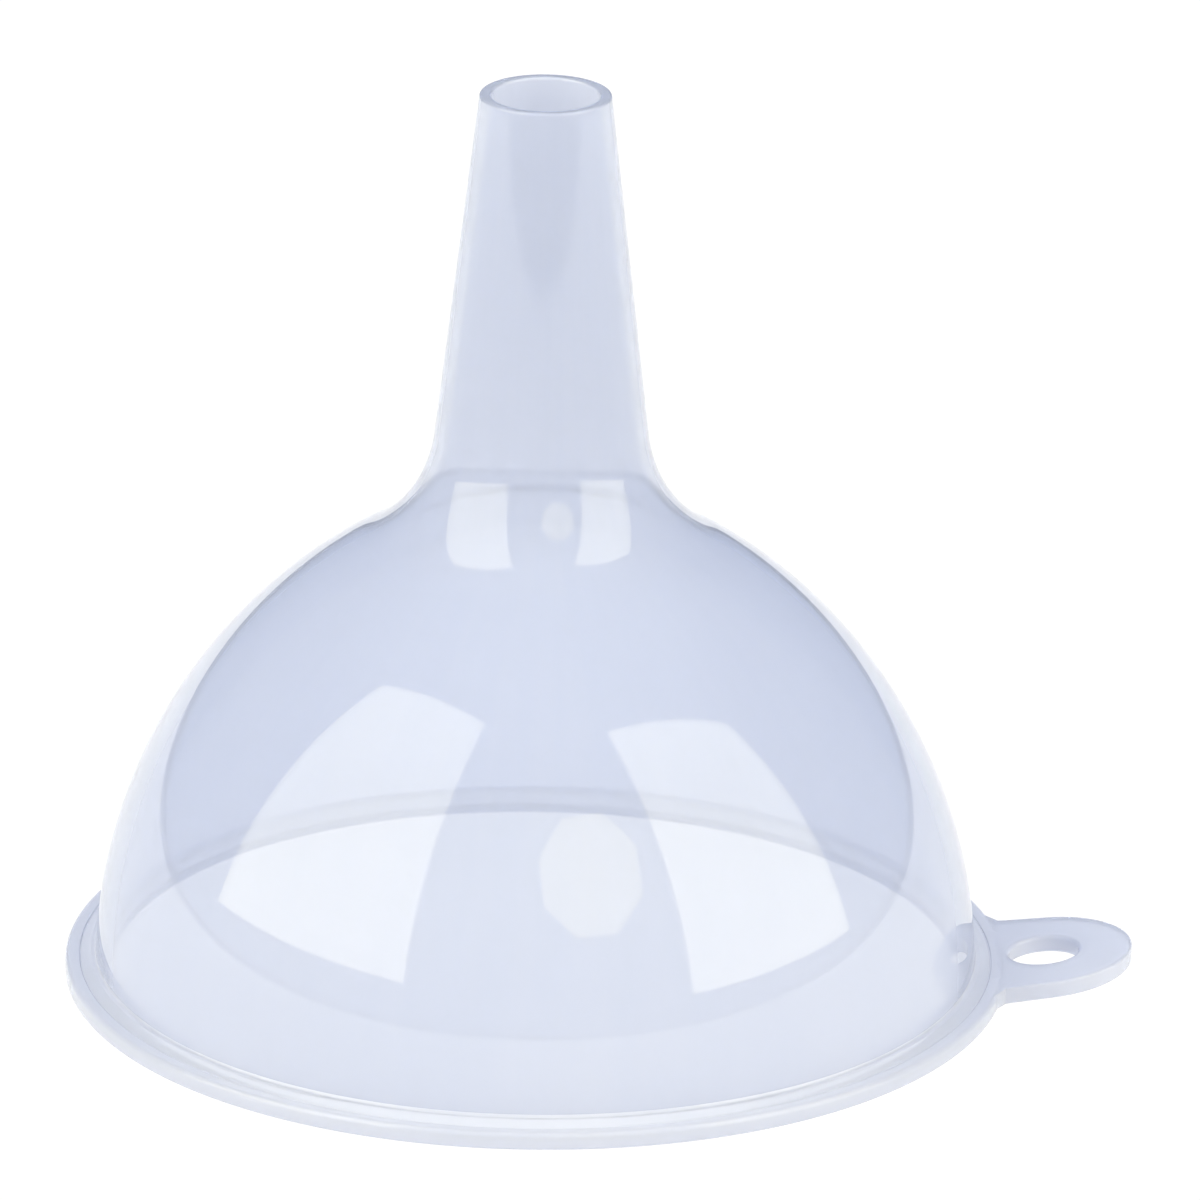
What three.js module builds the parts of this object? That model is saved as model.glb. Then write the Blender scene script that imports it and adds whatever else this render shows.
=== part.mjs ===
// A household filling funnel moulded in clear polypropylene, standing with its mouth down.
//
// Frame: millimetres, +Z up, Z = 0 on the face that the mouth rests on. The funnel's axis
// is vertical and its hang tab points along +X. The origin is below the middle of the
// whole outline, so the axis stands a little to the -X side of it.
//
// The funnel is one moulding. Its regions are separate closed bodies that meet face to
// face on shared rings: rim bead, rim flange, bowl, shoulder and spout, and the hang tab.
import * as THREE from "three";

// Whole moulding
const MOUTH_RADIUS = 60; // outer edge of the rim
const HEIGHT = 117.2; // from the mouth face to the spout's tip
const WALL = 1.5; // wall of the bowl, the shoulder and the spout
const SEGMENTS = 64; // facets around the axis

// Outer surface of the wall
const BOWL_ARC_RADIUS = 67.2; // arc of the bowl, centred level with the mouth face
const BOWL_ARC_CENTRE = -11; // its centre lies this far across the axis
const SHOULDER_ARC_RADIUS = 19.4; // hollow arc between the bowl and the spout
const TIP_RADIUS = 8.25; // spout's outer radius at the tip
const SPOUT_TAPER = 0.117; // growth of the spout's radius for each millimetre down
const TIP_EDGE = 0.35; // rounding of the tip's two edges

// Rim
const RIM_THICKNESS = 2.2; // at the bead
const BEAD_WIDTH = 1.8; // flat-topped outer ring of the rim
const BEAD_TOP_EDGE = 0.6; // rounding of the bead's upper edge
const BEAD_BOTTOM_EDGE = 0.3; // rounding of the bead's lower edge
const FLANGE_HEIGHT = 2.8; // where the flange meets the bowl's wall
const FLANGE_MARGIN = 0.45; // flat left outside the bowl's wall

// Hang tab
const TAB_ROOT_SEGMENTS = 2; // half of the tab's root, in facets of the rim
const TAB_END_RADIUS = 11.2; // round end, about the hole
const TAB_HOLE_CENTRE = 65; // from the funnel's axis
const TAB_HOLE_RADIUS = 4.4;
const TAB_THICKNESS = 2.2;
const TAB_LIFT = Math.tan(THREE.MathUtils.degToRad(6.5)); // rise for each millimetre out
const TAB_CURVE_STEPS = 24;

// Steps along the curved stretches
const BOWL_STEPS = 12;
const SHOULDER_STEPS = 7;
const EDGE_STEPS = 3;

// Worked out from the dimensions above
const FACET_ANGLE = (2 * Math.PI) / SEGMENTS;
const TAB_REACH = TAB_HOLE_CENTRE + TAB_END_RADIUS;
const AXIS_X = (MOUTH_RADIUS - TAB_REACH) / 2;
const BEAD_INNER_RADIUS = MOUTH_RADIUS - BEAD_WIDTH;
const SPOUT_SLANT = Math.hypot(1, SPOUT_TAPER); // length along the spout for each millimetre down
const SPOUT_TILT = Math.atan(SPOUT_TAPER);
const SHOULDER_CENTRE = shoulderCentre();
const BOWL_END_ANGLE = Math.atan2(SHOULDER_CENTRE.z, SHOULDER_CENTRE.r - BOWL_ARC_CENTRE);
const BOWL_TOP = BOWL_ARC_RADIUS * Math.sin(BOWL_END_ANGLE);
const SHOULDER_TOP = SHOULDER_CENTRE.z - SHOULDER_ARC_RADIUS * Math.sin(SPOUT_TILT);

// Centre of the shoulder's hollow arc: the arc touches the spout's taper and the bowl's
// arc, so it lies one arc radius outside the taper, and both radii from the bowl's centre.
function shoulderCentre() {
  const reach = BOWL_ARC_RADIUS + SHOULDER_ARC_RADIUS;
  const taperAtMouth = TIP_RADIUS + SPOUT_TAPER * HEIGHT;
  const base = taperAtMouth + SHOULDER_ARC_RADIUS * SPOUT_SLANT - BOWL_ARC_CENTRE;
  const slant = SPOUT_SLANT ** 2;
  const root = Math.sqrt((SPOUT_TAPER * base) ** 2 - slant * (base ** 2 - reach ** 2));
  const z = (SPOUT_TAPER * base + root) / slant;
  return { r: BOWL_ARC_CENTRE + base - SPOUT_TAPER * z, z };
}

// Radius at a height of the surface that lies at a depth inside the wall: 0 is the outer
// surface and WALL the inner one. Both are the same three curves, moved in by the depth.
function wallRadius(z, depth) {
  const bowlRadius = BOWL_ARC_RADIUS - depth;
  const shoulderRadius = SHOULDER_ARC_RADIUS + depth;
  if (z <= bowlRadius * Math.sin(BOWL_END_ANGLE)) {
    return BOWL_ARC_CENTRE + Math.sqrt(bowlRadius ** 2 - z ** 2);
  }
  if (z <= SHOULDER_CENTRE.z - shoulderRadius * Math.sin(SPOUT_TILT)) {
    return SHOULDER_CENTRE.r - Math.sqrt(shoulderRadius ** 2 - (z - SHOULDER_CENTRE.z) ** 2);
  }
  return TIP_RADIUS + SPOUT_TAPER * (HEIGHT - z) - depth * SPOUT_SLANT;
}

// Points of a rounded edge, as [radius, height], from one angle to another.
function edgeArc(centreR, centreZ, radius, startDegrees, endDegrees) {
  const points = [];
  for (let i = 0; i <= EDGE_STEPS; i += 1) {
    const degrees = startDegrees + ((endDegrees - startDegrees) * i) / EDGE_STEPS;
    const angle = THREE.MathUtils.degToRad(degrees);
    points.push([centreR + radius * Math.cos(angle), centreZ + radius * Math.sin(angle)]);
  }
  return points;
}

// Closed body of revolution from a profile of [radius, height] points, counter-clockwise
// when the radius runs to the right and the height runs up.
function ring(profile) {
  const points = profile.map(([r, z]) => new THREE.Vector2(r, z));
  points.push(points[0].clone());
  const geometry = new THREE.LatheGeometry(points, SEGMENTS, Math.PI / 2);
  geometry.rotateX(Math.PI / 2);
  return geometry;
}

// Ring of wall between its outer and its inner surface, through the given rising heights.
function wallRing(heights) {
  const outside = heights.map((z) => [wallRadius(z, 0), z]);
  const inside = heights.map((z) => [wallRadius(z, WALL), z]);
  return ring([...outside, ...inside.reverse()]);
}

// Outer ring of the rim: flat below, flat on top, with a rounded outer edge.
function rimBead() {
  const lowerEdge = edgeArc(MOUTH_RADIUS - BEAD_BOTTOM_EDGE, BEAD_BOTTOM_EDGE, BEAD_BOTTOM_EDGE, -90, 0);
  const topZ = RIM_THICKNESS - BEAD_TOP_EDGE;
  const upperEdge = edgeArc(MOUTH_RADIUS - BEAD_TOP_EDGE, topZ, BEAD_TOP_EDGE, 0, 90);
  return ring([
    [BEAD_INNER_RADIUS, 0],
    ...lowerEdge,
    ...upperEdge,
    [BEAD_INNER_RADIUS, RIM_THICKNESS],
  ]);
}

// Inner ring of the rim: it rises gently from the bead to the foot of the bowl's wall.
function rimFlange() {
  const wallFoot = wallRadius(FLANGE_HEIGHT, 0);
  return ring([
    [wallRadius(0, WALL), 0],
    [BEAD_INNER_RADIUS, 0],
    [BEAD_INNER_RADIUS, RIM_THICKNESS],
    [wallFoot + FLANGE_MARGIN, FLANGE_HEIGHT],
    [wallFoot, FLANGE_HEIGHT],
    [wallRadius(FLANGE_HEIGHT, WALL), FLANGE_HEIGHT],
  ]);
}

// Bowl, from the flange to the start of the hollow shoulder, in even steps of its arc.
function bowl() {
  const start = Math.asin(FLANGE_HEIGHT / BOWL_ARC_RADIUS);
  const heights = [FLANGE_HEIGHT];
  for (let i = 1; i < BOWL_STEPS; i += 1) {
    const angle = start + ((BOWL_END_ANGLE - start) * i) / BOWL_STEPS;
    heights.push(BOWL_ARC_RADIUS * Math.sin(angle));
  }
  heights.push(BOWL_TOP);
  return wallRing(heights);
}

// Hollow shoulder that sweeps the bowl up into the spout, in even steps of its arc.
function shoulder() {
  const heights = [BOWL_TOP];
  for (let i = 1; i < SHOULDER_STEPS; i += 1) {
    const angle = BOWL_END_ANGLE + ((SPOUT_TILT - BOWL_END_ANGLE) * i) / SHOULDER_STEPS;
    heights.push(SHOULDER_CENTRE.z - SHOULDER_ARC_RADIUS * Math.sin(angle));
  }
  heights.push(SHOULDER_TOP);
  return wallRing(heights);
}

// Tapered spout, open at both ends, with rounded edges at the tip.
function spout() {
  const edgeZ = HEIGHT - TIP_EDGE;
  const outerEdge = edgeArc(wallRadius(edgeZ, 0) - TIP_EDGE, edgeZ, TIP_EDGE, 0, 90);
  const innerEdge = edgeArc(wallRadius(edgeZ, WALL) + TIP_EDGE, edgeZ, TIP_EDGE, 90, 180);
  return ring([
    [wallRadius(SHOULDER_TOP, 0), SHOULDER_TOP],
    ...outerEdge,
    ...innerEdge,
    [wallRadius(SHOULDER_TOP, WALL), SHOULDER_TOP],
  ]);
}

// Corner of the rim's outer facets, counted from the middle of the tab's root.
function rimCorner(index) {
  const angle = index * FACET_ANGLE;
  return new THREE.Vector2(MOUTH_RADIUS * Math.cos(angle), MOUTH_RADIUS * Math.sin(angle));
}

// Hang tab seen from above: straight sides from the rim to a round end about the hole,
// and a root that follows the rim's facets.
function tabOutline() {
  const root = rimCorner(TAB_ROOT_SEGMENTS);
  const inset = TAB_HOLE_CENTRE - root.x;
  const cornerAngle = Math.atan2(root.y, inset);
  const sideAngle = Math.acos(TAB_END_RADIUS / Math.hypot(inset, root.y));
  const endAngle = Math.PI - cornerAngle - sideAngle;
  const outline = new THREE.Shape();
  outline.absarc(TAB_HOLE_CENTRE, 0, TAB_END_RADIUS, -endAngle, endAngle, false);
  for (let i = TAB_ROOT_SEGMENTS; i >= -TAB_ROOT_SEGMENTS; i -= 1) {
    const corner = rimCorner(i);
    outline.lineTo(corner.x, corner.y);
  }
  const hole = new THREE.Path();
  hole.absarc(TAB_HOLE_CENTRE, 0, TAB_HOLE_RADIUS, 0, 2 * Math.PI, true);
  outline.holes.push(hole);
  return outline;
}

// Hang tab: a plate that leans up as it leaves the rim, while its root, its sides and
// its hole stay upright.
function hangTab() {
  const geometry = new THREE.ExtrudeGeometry(tabOutline(), {
    depth: TAB_THICKNESS,
    bevelEnabled: false,
    curveSegments: TAB_CURVE_STEPS,
  });
  const hingeX = rimCorner(TAB_ROOT_SEGMENTS).x;
  geometry.translate(-hingeX, 0, 0);
  geometry.applyMatrix4(new THREE.Matrix4().makeShear(0, TAB_LIFT, 0, 0, 0, 0));
  geometry.translate(hingeX, 0, 0);
  return geometry;
}

// Clear polypropylene with its faint blue cast.
function clearPlastic() {
  return new THREE.MeshStandardMaterial({
    color: 0xdde3f0,
    roughness: 0.25,
    metalness: 0,
    transparent: true,
    opacity: 0.5,
  });
}

function addRegion(group, name, geometry) {
  const mesh = new THREE.Mesh(geometry, clearPlastic());
  mesh.name = name;
  group.add(mesh);
}

const funnel = new THREE.Group();
funnel.position.x = AXIS_X;
addRegion(funnel, "rim_bead", rimBead());
addRegion(funnel, "rim_flange", rimFlange());
addRegion(funnel, "bowl", bowl());
addRegion(funnel, "shoulder", shoulder());
addRegion(funnel, "spout", spout());
addRegion(funnel, "hang_tab", hangTab());

export default funnel;
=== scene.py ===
import math

import bmesh
import bpy
import numpy as np
from mathutils import Matrix, Vector


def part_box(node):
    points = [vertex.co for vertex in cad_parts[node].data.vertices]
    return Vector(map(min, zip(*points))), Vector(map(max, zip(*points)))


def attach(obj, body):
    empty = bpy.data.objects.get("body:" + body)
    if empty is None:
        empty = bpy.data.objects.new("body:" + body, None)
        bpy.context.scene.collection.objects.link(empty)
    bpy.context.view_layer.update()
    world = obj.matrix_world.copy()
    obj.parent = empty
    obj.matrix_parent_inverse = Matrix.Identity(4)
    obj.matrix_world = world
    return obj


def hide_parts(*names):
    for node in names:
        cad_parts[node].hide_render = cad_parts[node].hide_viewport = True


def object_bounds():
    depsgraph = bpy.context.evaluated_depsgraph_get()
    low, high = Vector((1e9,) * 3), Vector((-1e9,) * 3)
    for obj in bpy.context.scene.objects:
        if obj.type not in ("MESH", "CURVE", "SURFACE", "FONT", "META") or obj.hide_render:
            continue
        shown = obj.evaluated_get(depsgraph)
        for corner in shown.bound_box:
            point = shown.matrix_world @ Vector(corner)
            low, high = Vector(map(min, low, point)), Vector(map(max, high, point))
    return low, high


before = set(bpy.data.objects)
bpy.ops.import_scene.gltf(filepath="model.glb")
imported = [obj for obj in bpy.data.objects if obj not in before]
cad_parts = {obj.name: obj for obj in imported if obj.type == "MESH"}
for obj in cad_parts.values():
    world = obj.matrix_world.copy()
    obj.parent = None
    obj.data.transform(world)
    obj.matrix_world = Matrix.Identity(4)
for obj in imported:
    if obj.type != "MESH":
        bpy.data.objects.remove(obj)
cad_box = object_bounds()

MM = 0.001

# What the frame gives
bead_low, bead_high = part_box("rim_bead")
bowl_low, bowl_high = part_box("bowl")
spout_low, spout_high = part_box("spout")
tab_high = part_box("hang_tab")[1]
AXIS = Vector(((bead_low.x + bead_high.x) / 2, (bead_low.y + bead_high.y) / 2, bead_low.z))
MOUTH_RADIUS = (bead_high.y - bead_low.y) / 2 / MM
HEIGHT = (spout_high.z - AXIS.z) / MM
RIM_THICKNESS = (bead_high.z - AXIS.z) / MM
BOWL_FOOT_Z = (bowl_low.z - AXIS.z) / MM
BOWL_FOOT_RADIUS = (bowl_high.y - bowl_low.y) / 2 / MM
SPOUT_BASE_Z = (spout_low.z - AXIS.z) / MM
SPOUT_BASE_RADIUS = (spout_high.y - spout_low.y) / 2 / MM
TAB_REACH = (tab_high.x - AXIS.x) / MM

# Wall
WALL = 1.5
BOWL_ARC_RADIUS = 67.2
SHOULDER_ARC_RADIUS = 19.4
SPOUT_TAPER = 0.117  # growth of the spout's radius for each millimetre down
TIP_EDGE = 0.35
TIP_MARGIN = 2 * TIP_EDGE  # height left to the tip's rounding
FOOT_MARGIN = 1.0  # height left to the roundings at the wall's foot, inside and outside

# Rim
BEAD_WIDTH = 1.75
BEAD_TOP_EDGE = 0.65
BEAD_BOTTOM_EDGE = 0.35
MOUTH_INNER_EDGE = 0.4
GROOVE_WIDTH = 0.3
GROOVE_DEPTH = 0.14
GROOVE_EDGE = 0.08
GROOVE_BOTTOM_EDGE = 0.06
CREST_WIDTH = 0.62  # from the flange's crest to the wall
CREST_EDGE = 0.5
WALL_FOOT_RISE = 0.05  # of the wall's foot above the crest
WALL_FOOT_FILLET = 0.35

# Hang tab
TAB_END_RADIUS = 11.2
TAB_HOLE_RADIUS = 4.45
TAB_HOLE_EDGE = 0.5
TAB_EDGE = 0.3
TAB_THICKNESS = 2.2
TAB_LIFT = math.tan(math.radians(6.5))
TAB_ROOT_HALF_ANGLE = math.radians(11.25)
TAB_BURIED = 1.9  # how far the tab's root reaches into the rim
TAB_FLOOR_GAP = 0.1  # under the tab's root, inside the rim
TAB_FILLET = 1.6  # between the tab's sides and the rim

# Resolution of the meshes
SEGMENTS = 288
BOWL_STEPS = 42
SHOULDER_STEPS = 20
SPOUT_STEPS = 14
EDGE_STEPS = 5
TAB_SEGMENTS = 144
TAB_FACE_STEPS = 6
SHARP_ANGLE = math.radians(35)

# Plastic. The streaks' texture lies on a circle of radius 1 and climbs with height; the
# scales of the other textures are for each metre.
STREAK_SCALE = 14.0
STREAK_CLIMB = 2.5  # for each metre of height
STREAK_SHARE = 0.35  # of the colour's drift; the clouds make the rest
STREAK_RELIEF = 0.2  # of the ripples' height
CLOUD_SCALE = 30.0
TINT_RANGE = (0.3, 0.7)  # of the drift, from the deep tint to the pale one
GRAIN_SCALE = 420.0
GRAIN_RANGE = (0.35, 0.75)
GLOSS_ROUGHNESS = (0.01, 0.035)
RIPPLE_SCALE = 260.0
RIPPLE_DEPTH = 0.000002
IOR = 1.49
WALL_DEEP = (0.775, 0.815, 0.95)
WALL_PALE = (0.795, 0.83, 0.955)
RIM_DEEP = (0.83, 0.855, 0.965)
RIM_PALE = (0.85, 0.87, 0.97)
WALL_CLEARNESS = 0.65
RIM_CLEARNESS = 0.45
THICK_MARGIN = 0.6  # how far inside the wall's foot the rim's plastic begins
THICK_RISE = 0.35  # how far above the wall's foot it ends

# Table and room
FLOOR_HALF = 60.0
FLOOR_GAP = 0.0002  # below the funnel
FLOOR_ROUGHNESS = 0.9
TABLE_RADIUS = 1.0
TABLE_EDGE = 0.004  # half the width over which the table's tone gives way to the floor's
# Painted light: the table top glows by this much, for the light that falls on it
TABLE_GLOW = 0.7
TABLE_TONE = (0.35, 0.35, 0.35)
SURROUND_SHADE = (0.045, 0.05, 0.065)  # of the floor beyond the table: painted shade for the unlit room, darker and glowing less
ROOM_TINT = (0.42, 0.48, 0.64)
CEILING_TINT = (0.88, 0.96, 1.14)
CEILING_START = math.radians(35)  # elevation above which the room grows lighter
BACKDROP_WHITE = 1.05

# Softboxes
SOFTBOX_RADIANCE = 2.1
SOFTBOX_TINT = (1, 0.93, 0.62)
SOFTBOX_DISTANCE = 1.2
SOFTBOX_AIM_HEIGHT = 0.03
OCTAGON_RADIUS = 0.3
OCTAGON_SIDES = 8
POWER_PER_RADIANCE = 4.0  # of a rectangular light, for each square metre

# Camera
CAMERA_DISTANCE = 1.5
CAMERA_AIM_HEIGHT = 0.060
CAMERA_ELEVATION = math.radians(19.9)
CAMERA_HEADING = math.radians(89.1)  # direction it looks along, from +X towards +Y
CAMERA_ROLL = math.radians(0.8)
CAMERA_AIM_RIGHT = 0.0076
CAMERA_AIM_DOWN = 0.0092
CAMERA_LENS = 357.0
CAMERA_SENSOR = 36.0

# Light paths through the clear wall
ALL_BOUNCES = 24
GLOSSY_BOUNCES = 12


# ---------------------------------------------------------------- wall and rim

SPOUT_TILT = math.atan(SPOUT_TAPER)
BOWL_CENTRE_R = BOWL_FOOT_RADIUS - math.sqrt(BOWL_ARC_RADIUS**2 - BOWL_FOOT_Z**2)


def shoulder_centre():
    """(r, z) of the centre of the hollow arc: it touches the spout's taper and the bowl's arc."""
    z = SPOUT_BASE_Z + SHOULDER_ARC_RADIUS * math.sin(SPOUT_TILT)
    r = SPOUT_BASE_RADIUS + SHOULDER_ARC_RADIUS * math.cos(SPOUT_TILT)
    return r, z


SHOULDER_R, SHOULDER_Z = shoulder_centre()
BOWL_END_ANGLE = math.atan2(SHOULDER_Z, SHOULDER_R - BOWL_CENTRE_R)


def wall_line(depth, low_z):
    """Points (r, z) up the wall, from a low height to just under the tip, at a depth inside it."""
    bowl_radius = BOWL_ARC_RADIUS - depth
    shoulder_radius = SHOULDER_ARC_RADIUS + depth
    start = math.asin(low_z / bowl_radius)
    points = []
    for i in range(BOWL_STEPS):
        angle = start + (BOWL_END_ANGLE - start) * i / BOWL_STEPS
        r = BOWL_CENTRE_R + bowl_radius * math.cos(angle)
        points.append((r, bowl_radius * math.sin(angle)))
    for i in range(SHOULDER_STEPS):
        angle = BOWL_END_ANGLE + (SPOUT_TILT - BOWL_END_ANGLE) * i / SHOULDER_STEPS
        r = SHOULDER_R - shoulder_radius * math.cos(angle)
        points.append((r, SHOULDER_Z - shoulder_radius * math.sin(angle)))
    base_r = SHOULDER_R - shoulder_radius * math.cos(SPOUT_TILT)
    base_z = SHOULDER_Z - shoulder_radius * math.sin(SPOUT_TILT)
    top_z = HEIGHT - TIP_MARGIN
    for i in range(SPOUT_STEPS + 1):
        z = base_z + (top_z - base_z) * i / SPOUT_STEPS
        points.append((base_r - SPOUT_TAPER * (z - base_z), z))
    return points


def rounded(before, corner, after, radius):
    """Points of an arc of the given radius that rounds off a corner of a profile."""
    corner = Vector(corner)
    to_before = (Vector(before) - corner).normalized()
    to_after = (Vector(after) - corner).normalized()
    half = to_before.angle(to_after) / 2
    centre = corner + (to_before + to_after).normalized() * (radius / math.sin(half))
    start = corner + to_before * (radius / math.tan(half)) - centre
    end = corner + to_after * (radius / math.tan(half)) - centre
    spread = math.pi - 2 * half
    points = []
    for i in range(EDGE_STEPS + 1):
        share = i / EDGE_STEPS
        a = math.sin((1 - share) * spread) / math.sin(spread)
        b = math.sin(share * spread) / math.sin(spread)
        points.append(tuple(centre + start * a + end * b))
    return points


def moulding_profile():
    """Closed section (r, z) of the rim, the bowl, the shoulder and the spout."""
    outside = wall_line(0, BOWL_FOOT_Z + FOOT_MARGIN)
    inside = wall_line(WALL, FOOT_MARGIN)
    ledge_end = MOUTH_RADIUS - BEAD_WIDTH
    crest_r = BOWL_FOOT_RADIUS + CREST_WIDTH
    mouth_inner = BOWL_CENTRE_R + BOWL_ARC_RADIUS - WALL
    tip_outer = (outside[-1][0] - SPOUT_TAPER * TIP_MARGIN, HEIGHT)
    tip_inner = (inside[-1][0] - SPOUT_TAPER * TIP_MARGIN, HEIGHT)
    corners = [
        ((mouth_inner, 0), MOUTH_INNER_EDGE),
        ((MOUTH_RADIUS, 0), BEAD_BOTTOM_EDGE),
        ((MOUTH_RADIUS, RIM_THICKNESS), BEAD_TOP_EDGE),
        ((ledge_end, RIM_THICKNESS), GROOVE_EDGE),
        ((ledge_end - GROOVE_WIDTH / 2, RIM_THICKNESS - GROOVE_DEPTH), GROOVE_BOTTOM_EDGE),
        ((ledge_end - GROOVE_WIDTH, RIM_THICKNESS), GROOVE_EDGE),
        ((crest_r, BOWL_FOOT_Z), CREST_EDGE),
        ((BOWL_FOOT_RADIUS, BOWL_FOOT_Z + WALL_FOOT_RISE), WALL_FOOT_FILLET),
    ]
    places = [place for place, radius in corners]
    profile = []
    for i, (corner, radius) in enumerate(corners):
        before = places[i - 1] if i else inside[0]
        after = places[i + 1] if i + 1 < len(places) else outside[0]
        profile += rounded(before, corner, after, radius)
    profile += outside
    profile += rounded(outside[-1], tip_outer, tip_inner, TIP_EDGE)
    profile += rounded(tip_outer, tip_inner, inside[-1], TIP_EDGE)
    profile += inside[::-1]
    return profile


def ring_mesh(name, rings):
    """Closed mesh from rings of points, each joined to the next and the last to the first.

    rings[i][j] is a point in millimetres in the funnel's frame; each ring is closed too.
    """
    count, size = len(rings), len(rings[0])
    points = np.array(rings, float).reshape(-1, 3) * MM + np.array(AXIS)
    faces = []
    for i in range(count):
        for j in range(size):
            k = (i + 1) % count
            m = (j + 1) % size
            faces.append((i * size + j, k * size + j, k * size + m, i * size + m))
    mesh = bpy.data.meshes.new(name)
    mesh.from_pydata(points.tolist(), [], faces)
    mesh.validate()
    return mesh


def moulding_mesh():
    """Section turned round the axis. Its rings lie half a step off the tab's middle plane."""
    profile = moulding_profile()
    rings = []
    for i in range(SEGMENTS):
        angle = 2 * math.pi * (i + 0.5) / SEGMENTS
        rings.append([(r * math.cos(angle), r * math.sin(angle), z) for r, z in profile])
    return ring_mesh("moulding", rings)


# ---------------------------------------------------------------- hang tab
#
# Its outline is measured from the hole's centre, by the angle from the tab's far end.

HOLE_X = TAB_REACH - TAB_END_RADIUS
ROOT_X = MOUTH_RADIUS * math.cos(TAB_ROOT_HALF_ANGLE)
ROOT_Y = MOUTH_RADIUS * math.sin(TAB_ROOT_HALF_ANGLE)


def side_start():
    """Angle at which the round end gives way to the straight side."""
    inset = HOLE_X - ROOT_X
    corner_angle = math.atan2(ROOT_Y, inset)
    return math.pi - corner_angle - math.acos(TAB_END_RADIUS / math.hypot(inset, ROOT_Y))


SIDE_START = side_start()


def root_fillet():
    """Centre of the arc that touches the tab's side and the rim's edge, and the angles at
    which it starts and ends."""
    side_out = Vector((math.cos(SIDE_START), math.sin(SIDE_START)))
    side_along = Vector((-math.sin(SIDE_START), math.cos(SIDE_START)))
    hole = Vector((HOLE_X, 0))
    reach = MOUTH_RADIUS + TAB_FILLET
    offset = hole + side_out * (TAB_END_RADIUS + TAB_FILLET)
    along = offset.dot(side_along)
    slide = -along - math.sqrt(along**2 - offset.length_squared + reach**2)
    centre = offset + side_along * slide - hole
    on_side = centre - side_out * TAB_FILLET
    on_rim = (centre + hole) * (MOUTH_RADIUS / reach) - hole
    return centre, math.atan2(on_side.y, on_side.x), math.atan2(on_rim.y, on_rim.x)


FILLET_CENTRE, FILLET_START, FILLET_END = root_fillet()


def tab_outline(angle):
    """Distance from the hole's centre to the tab's edge."""
    angle = abs(angle)
    if angle <= SIDE_START:
        return TAB_END_RADIUS
    if angle <= FILLET_START:
        return TAB_END_RADIUS / math.cos(angle - SIDE_START)
    if angle <= FILLET_END:
        along = FILLET_CENTRE.dot(Vector((math.cos(angle), math.sin(angle))))
        return along - math.sqrt(TAB_FILLET**2 - FILLET_CENTRE.length_squared + along**2)
    return (HOLE_X - ROOT_X + TAB_BURIED) / -math.cos(angle)


def tab_height(x, share):
    """Height at a distance from the funnel's axis, and at a share of the tab's thickness."""
    rise = TAB_LIFT * (x - ROOT_X)
    low = max(TAB_FLOOR_GAP, rise)
    return low + (TAB_THICKNESS + rise - low) * share


def tab_section(edge):
    """Section (distance from the hole's centre, height) from the hole to an edge and back."""
    near = TAB_HOLE_RADIUS + TAB_HOLE_EDGE
    far = edge - TAB_EDGE
    turns = [math.pi / 2 * k / EDGE_STEPS for k in range(EDGE_STEPS + 1)]
    steps = [near + (far - near) * k / TAB_FACE_STEPS for k in range(1, TAB_FACE_STEPS)]
    section = []
    for turn in turns:
        out = TAB_HOLE_RADIUS + TAB_HOLE_EDGE * (1 - math.sin(turn))
        section.append((out, TAB_HOLE_EDGE * (1 - math.cos(turn))))
    for turn in turns:
        out = TAB_HOLE_RADIUS + TAB_HOLE_EDGE * (1 - math.cos(turn))
        section.append((out, TAB_THICKNESS - TAB_HOLE_EDGE * (1 - math.sin(turn))))
    section += [(out, TAB_THICKNESS) for out in steps]
    for turn in turns:
        height = TAB_THICKNESS - TAB_EDGE * (1 - math.cos(turn))
        section.append((far + TAB_EDGE * math.sin(turn), height))
    for turn in turns:
        section.append((far + TAB_EDGE * math.cos(turn), TAB_EDGE * (1 - math.sin(turn))))
    section += [(out, 0) for out in reversed(steps)]
    return section


def tab_mesh():
    """Hang tab, with its root buried in the rim. Every ring goes once round its section."""
    rings = []
    for i in range(TAB_SEGMENTS):
        angle = -math.pi + 2 * math.pi * i / TAB_SEGMENTS
        ring = []
        for out, height in tab_section(tab_outline(angle)):
            x = HOLE_X + out * math.cos(angle)
            ring.append((x, out * math.sin(angle), tab_height(x, height / TAB_THICKNESS)))
        rings.append(ring)
    return ring_mesh("hang_tab_blank", rings)


# ---------------------------------------------------------------- funnel


def joined(name, base_mesh, added_mesh):
    """One closed mesh of both, as an object in the scene."""
    base = bpy.data.objects.new(name, base_mesh)
    added = bpy.data.objects.new(name + "_added", added_mesh)
    for obj in (base, added):
        bpy.context.scene.collection.objects.link(obj)
    join = base.modifiers.new("join", "BOOLEAN")
    join.operation = "UNION"
    join.solver = "EXACT"
    join.object = added
    graph = bpy.context.evaluated_depsgraph_get()
    result = bpy.data.meshes.new_from_object(base.evaluated_get(graph))
    base.modifiers.clear()
    base.data = result
    bpy.data.objects.remove(added)
    return base


def face_outwards(mesh):
    """Turns every face of a closed mesh to face out of the plastic."""
    bm = bmesh.new()
    bm.from_mesh(mesh)
    bmesh.ops.recalc_face_normals(bm, faces=bm.faces)
    bm.to_mesh(mesh)
    bm.free()


def is_thick(centre):
    """True for a face of the rim or the hang tab, where the plastic is thick."""
    radius = math.hypot(centre.x - AXIS.x, centre.y - AXIS.y) / MM
    height = (centre.z - AXIS.z) / MM
    in_rim = radius > BOWL_FOOT_RADIUS - THICK_MARGIN and height < BOWL_FOOT_Z + THICK_RISE
    return in_rim or radius > MOUTH_RADIUS


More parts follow.
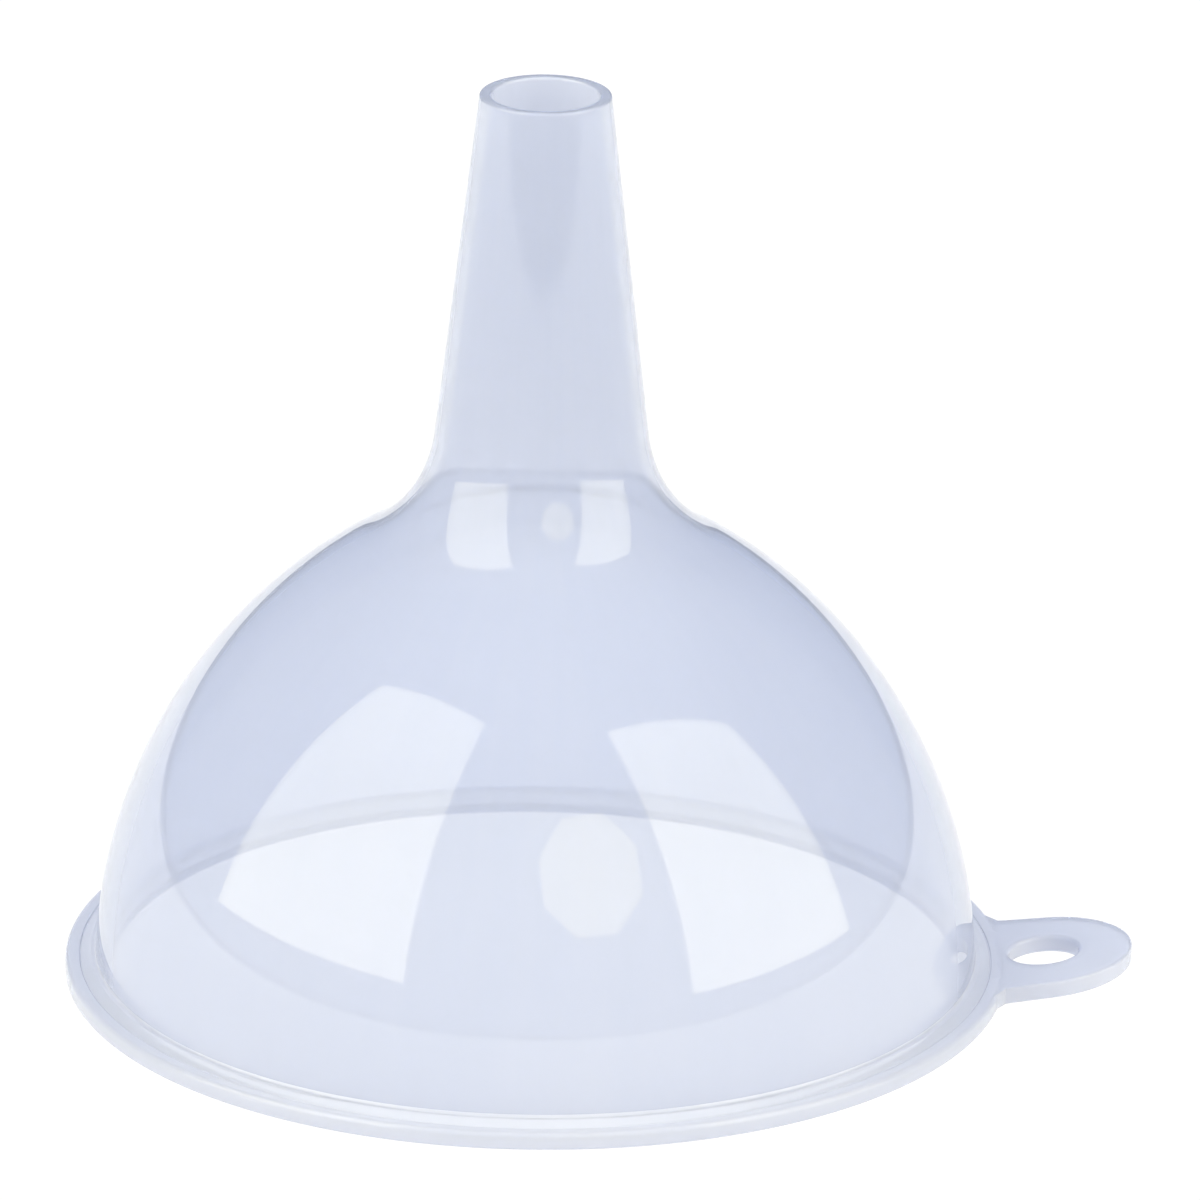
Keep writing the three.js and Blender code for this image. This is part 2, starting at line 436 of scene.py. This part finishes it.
def make_funnel():
    """One seamless object of the moulding and its hang tab, with its two plastics."""
    moulding = moulding_mesh()
    tab = tab_mesh()
    face_outwards(moulding)
    face_outwards(tab)
    funnel = joined("funnel_moulding", moulding, tab)
    mesh = funnel.data
    mesh.name = "funnel_moulding"
    mesh.shade_smooth()
    mesh.set_sharp_from_angle(angle=SHARP_ANGLE)
    mesh.materials.clear()
    mesh.materials.append(moulded_plastic("polypropylene_wall", WALL_DEEP, WALL_PALE, WALL_CLEARNESS))
    mesh.materials.append(moulded_plastic("polypropylene_rim", RIM_DEEP, RIM_PALE, RIM_CLEARNESS))
    for polygon in mesh.polygons:
        polygon.material_index = int(is_thick(polygon.center))
    return funnel


# ---------------------------------------------------------------- material


class Nodes:
    """Short calls for adding nodes to a material or a world and linking them."""

    def __init__(self, owner):
        owner.use_nodes = True
        self.tree = owner.node_tree

    def add(self, kind, operation=None, **inputs):
        """Adds a node. Where an input's name has a space, it is given with an underscore."""
        node = self.tree.nodes.new(kind)
        if operation:
            node.operation = operation
        for name, value in inputs.items():
            self.put(node.inputs[name.replace("_", " ")], value)
        return node

    def put(self, socket, value):
        """Links a socket to another node's output, or sets its value."""
        if isinstance(value, bpy.types.NodeSocket):
            self.tree.links.new(value, socket)
        else:
            socket.default_value = value

    def maths(self, kind, operation, *values):
        """Adds a node of a mathematical operation, its inputs given in order."""
        node = self.add(kind, operation)
        for socket, value in zip(node.inputs, values):
            self.put(socket, value)
        return node

    def vector(self, operation, *values):
        return self.maths("ShaderNodeVectorMath", operation, *values).outputs["Vector"]

    def number(self, operation, *values):
        return self.maths("ShaderNodeMath", operation, *values).outputs["Value"]

    def noise(self, place, scale, detail, roughness):
        node = self.add(
            "ShaderNodeTexNoise", Vector=place, Scale=scale, Detail=detail, Roughness=roughness
        )
        return node.outputs["Fac"]

    def ranged(self, value, low, high, to_low=0, to_high=1, shape="LINEAR"):
        """A value that is carried from the range low to high onto another."""
        node = self.add("ShaderNodeMapRange", Value=value, From_Min=low, From_Max=high)
        node.interpolation_type = shape
        self.put(node.inputs["To Min"], to_low)
        self.put(node.inputs["To Max"], to_high)
        return node.outputs["Result"]

    def blend(self, share, first, second):
        """Colour that goes from the first to the second."""
        node = self.add("ShaderNodeMix")
        node.data_type = "RGBA"
        self.put(node.inputs["Factor"], share)
        self.put(node.inputs["A"], (*first, 1))
        self.put(node.inputs["B"], (*second, 1))
        return node.outputs["Result"]


def moulded_plastic(name, deep, pale, clearness):
    """Milky polypropylene. Its colour drifts between two tints: soft clouds, and streaks that
    run up the moulding as the melt flowed. The gloss is a little uneven, as a worn mould
    leaves it, and its surface is very slightly wavy."""
    material = bpy.data.materials.new(name)
    make = Nodes(material)
    place = make.add("ShaderNodeTexCoord").outputs["Object"]
    centred = make.vector("SUBTRACT", place, tuple(AXIS))
    around = make.vector("NORMALIZE", make.vector("MULTIPLY", centred, (1, 1, 0)))
    upward = make.vector("MULTIPLY", centred, (0, 0, STREAK_CLIMB))
    along = make.vector("ADD", around, upward)

    streaks = make.noise(along, STREAK_SCALE, detail=3, roughness=0.55)
    clouds = make.noise(centred, CLOUD_SCALE, detail=2, roughness=0.5)
    cloud_part = make.number("MULTIPLY", clouds, 1 - STREAK_SHARE)
    drift = make.number("MULTIPLY_ADD", streaks, STREAK_SHARE, cloud_part)
    colour = make.blend(make.ranged(drift, *TINT_RANGE, shape="SMOOTHSTEP"), deep, pale)

    grain = make.noise(centred, GRAIN_SCALE, detail=3, roughness=0.6)
    gloss = make.ranged(grain, *GRAIN_RANGE, *GLOSS_ROUGHNESS)
    ripple = make.noise(centred, RIPPLE_SCALE, detail=2, roughness=0.5)
    relief = make.number("MULTIPLY_ADD", streaks, STREAK_RELIEF, ripple)
    bump = make.add("ShaderNodeBump", Height=relief, Strength=1.0, Distance=RIPPLE_DEPTH)

    plastic = make.tree.nodes["Principled BSDF"]
    make.put(plastic.inputs["Base Color"], colour)
    make.put(plastic.inputs["Roughness"], gloss)
    make.put(plastic.inputs["Normal"], bump.outputs["Normal"])
    make.put(plastic.inputs["Transmission Weight"], clearness)
    make.put(plastic.inputs["IOR"], IOR)
    return material


# ---------------------------------------------------------------- studio


def show_white(make, unseen, white, output):
    """The camera sees the white shader; what the plastic reflects and lets through is the other."""
    path = make.add("ShaderNodeLightPath")
    choice = make.add("ShaderNodeMixShader", Fac=path.outputs["Is Camera Ray"])
    make.put(choice.inputs[1], unseen)
    make.put(choice.inputs[2], white)
    make.put(make.tree.nodes[output].inputs["Surface"], choice.outputs["Shader"])


def make_floor():
    """White to the camera, as a cut-out background is. The plastic meets a pale round table
    top that glows, painted light for the light that falls on it, and beyond its edge a floor that is
    darker and glows less, painted shade for the unlit room."""
    z = cad_box[0].z - FLOOR_GAP
    corners = [(x * FLOOR_HALF, y * FLOOR_HALF, z) for x, y in ((-1, -1), (1, -1), (1, 1), (-1, 1))]
    mesh = bpy.data.meshes.new("studio_floor")
    mesh.from_pydata(corners, [], [(0, 1, 2, 3)])
    floor = bpy.data.objects.new("studio_floor", mesh)
    bpy.context.scene.collection.objects.link(floor)

    material = bpy.data.materials.new("studio_floor")
    make = Nodes(material)
    place = make.add("ShaderNodeTexCoord").outputs["Object"]
    reach = make.maths("ShaderNodeVectorMath", "DISTANCE", place, (AXIS.x, AXIS.y, z))
    beyond = make.ranged(reach.outputs["Value"], TABLE_RADIUS - TABLE_EDGE, TABLE_RADIUS + TABLE_EDGE)
    # Painted light and shade: the table's tone, which also sets its glow, gives way to the darker,
    # dimmer floor beyond
    tone = make.blend(beyond, TABLE_TONE, SURROUND_SHADE)
    paint = make.tree.nodes["Principled BSDF"]
    make.put(paint.inputs["Base Color"], tone)
    make.put(paint.inputs["Emission Color"], tone)
    glow = TABLE_GLOW / TABLE_TONE[0]  # what the table gives off is this times its tone
    make.put(paint.inputs["Emission Strength"], glow)
    make.put(paint.inputs["Roughness"], FLOOR_ROUGHNESS)
    make.put(paint.inputs["Specular IOR Level"], 0)
    white = make.add("ShaderNodeEmission", Strength=BACKDROP_WHITE)
    show_white(make, paint.outputs["BSDF"], white.outputs["Emission"], "Material Output")
    mesh.materials.append(material)


def make_world():
    """Dim bluish room that grows lighter overhead, and white to the camera."""
    world = bpy.data.worlds.new("studio")
    bpy.context.scene.world = world
    make = Nodes(world)
    place = make.add("ShaderNodeTexCoord").outputs["Generated"]
    upward = make.add("ShaderNodeSeparateXYZ", Vector=place).outputs["Z"]
    overhead = make.ranged(upward, math.sin(CEILING_START), 1, shape="SMOOTHSTEP")
    room = make.tree.nodes["Background"]
    make.put(room.inputs["Color"], make.blend(overhead, ROOM_TINT, CEILING_TINT))
    make.put(room.inputs["Strength"], 1.0)
    white = make.add("ShaderNodeBackground", Color=(1, 1, 1, 1), Strength=BACKDROP_WHITE)
    show_white(make, room.outputs["Background"], white.outputs["Background"], "World Output")


def panel_light(name, facing, start, end, low, high):
    """Upright softbox. facing is the azimuth, in degrees, of the line from the funnel that
    meets its plane squarely, and start and end are those of its edges. low and high are its
    edges' heights above the aim, for each metre of distance."""
    facing = math.radians(facing)
    left = math.tan(math.radians(start) - facing) * SOFTBOX_DISTANCE
    right = math.tan(math.radians(end) - facing) * SOFTBOX_DISTANCE
    width = abs(right - left)
    height = (high - low) * SOFTBOX_DISTANCE
    middle_height = (low + high) / 2 * SOFTBOX_DISTANCE + SOFTBOX_AIM_HEIGHT
    light = bpy.data.lights.new(name, "AREA")
    light.shape = "RECTANGLE"
    light.size = width
    light.size_y = height
    light.energy = SOFTBOX_RADIANCE * POWER_PER_RADIANCE * width * height
    light.color = SOFTBOX_TINT
    obj = bpy.data.objects.new(name, light)
    bpy.context.scene.collection.objects.link(obj)
    out = Vector((math.sin(facing), -math.cos(facing), 0))
    along = Vector((math.cos(facing), math.sin(facing), 0))
    up = Vector((0, 0, 1))
    centre = AXIS + out * SOFTBOX_DISTANCE + along * ((left + right) / 2) + up * middle_height
    turn = Matrix((along, up, out)).transposed()
    obj.matrix_world = Matrix.LocRotScale(centre, turn.to_quaternion(), None)
    obj.visible_camera = False


def octagon_light(name, azimuth, elevation):
    """Eight-sided softbox that faces the funnel's bowl, from a direction in degrees."""
    azimuth = math.radians(azimuth)
    elevation = math.radians(elevation)
    towards = Vector((
        math.sin(azimuth) * math.cos(elevation),
        -math.cos(azimuth) * math.cos(elevation),
        math.sin(elevation),
    ))
    corners = []
    for i in range(OCTAGON_SIDES):
        turn = 2 * math.pi * (i + 0.5) / OCTAGON_SIDES
        corners.append((OCTAGON_RADIUS * math.cos(turn), OCTAGON_RADIUS * math.sin(turn), 0))
    mesh = bpy.data.meshes.new(name)
    mesh.from_pydata(corners, [], [tuple(range(OCTAGON_SIDES))])
    obj = bpy.data.objects.new(name, mesh)
    bpy.context.scene.collection.objects.link(obj)
    centre = AXIS + Vector((0, 0, SOFTBOX_AIM_HEIGHT)) + towards * SOFTBOX_DISTANCE
    obj.matrix_world = Matrix.LocRotScale(centre, towards.to_track_quat("Z", "Y"), None)
    material = bpy.data.materials.new(name)
    make = Nodes(material)
    glow = make.add("ShaderNodeEmission", Color=(*SOFTBOX_TINT, 1), Strength=SOFTBOX_RADIANCE)
    make.put(make.tree.nodes["Material Output"].inputs["Surface"], glow.outputs["Emission"])
    mesh.materials.append(material)
    obj.visible_camera = False


def make_lights():
    """Three softboxes. Their places show as bright shapes in the plastic's gloss."""
    panel_light("softbox_left", facing=-41, start=-95, end=-35, low=0.13, high=2.2)
    panel_light("softbox_right", facing=30, start=40, end=90, low=0.08, high=1.95)
    octagon_light("softbox_middle", azimuth=16, elevation=33)


# ---------------------------------------------------------------- camera


def make_camera():
    """Long lens from the front, a little above the funnel."""
    view = Vector((
        math.cos(CAMERA_HEADING) * math.cos(CAMERA_ELEVATION),
        math.sin(CAMERA_HEADING) * math.cos(CAMERA_ELEVATION),
        -math.sin(CAMERA_ELEVATION),
    ))
    right = view.cross(Vector((0, 0, 1))).normalized()
    up = right.cross(view)
    middle = AXIS + Vector((0, 0, CAMERA_AIM_HEIGHT))
    place = middle - view * CAMERA_DISTANCE
    aim = middle + right * CAMERA_AIM_RIGHT - up * CAMERA_AIM_DOWN
    data = bpy.data.cameras.new("camera")
    data.lens = CAMERA_LENS
    data.sensor_width = CAMERA_SENSOR
    camera = bpy.data.objects.new("camera", data)
    bpy.context.scene.collection.objects.link(camera)
    level = (aim - place).to_track_quat("-Z", "Y").to_matrix()
    rolled = level @ Matrix.Rotation(CAMERA_ROLL, 3, "Z")
    camera.matrix_world = Matrix.LocRotScale(place, rolled, None)
    bpy.context.scene.camera = camera


def set_view():
    """Plain tone curve, and enough bounces for light to leave the clear wall."""
    scene = bpy.context.scene
    scene.view_settings.view_transform = "Standard"
    scene.cycles.max_bounces = ALL_BOUNCES
    scene.cycles.transmission_bounces = ALL_BOUNCES
    scene.cycles.glossy_bounces = GLOSSY_BOUNCES


make_camera()
funnel = make_funnel()
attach(funnel, "root")
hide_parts("rim_bead", "rim_flange", "bowl", "shoulder", "spout", "hang_tab")
make_floor()
make_world()
make_lights()
set_view()
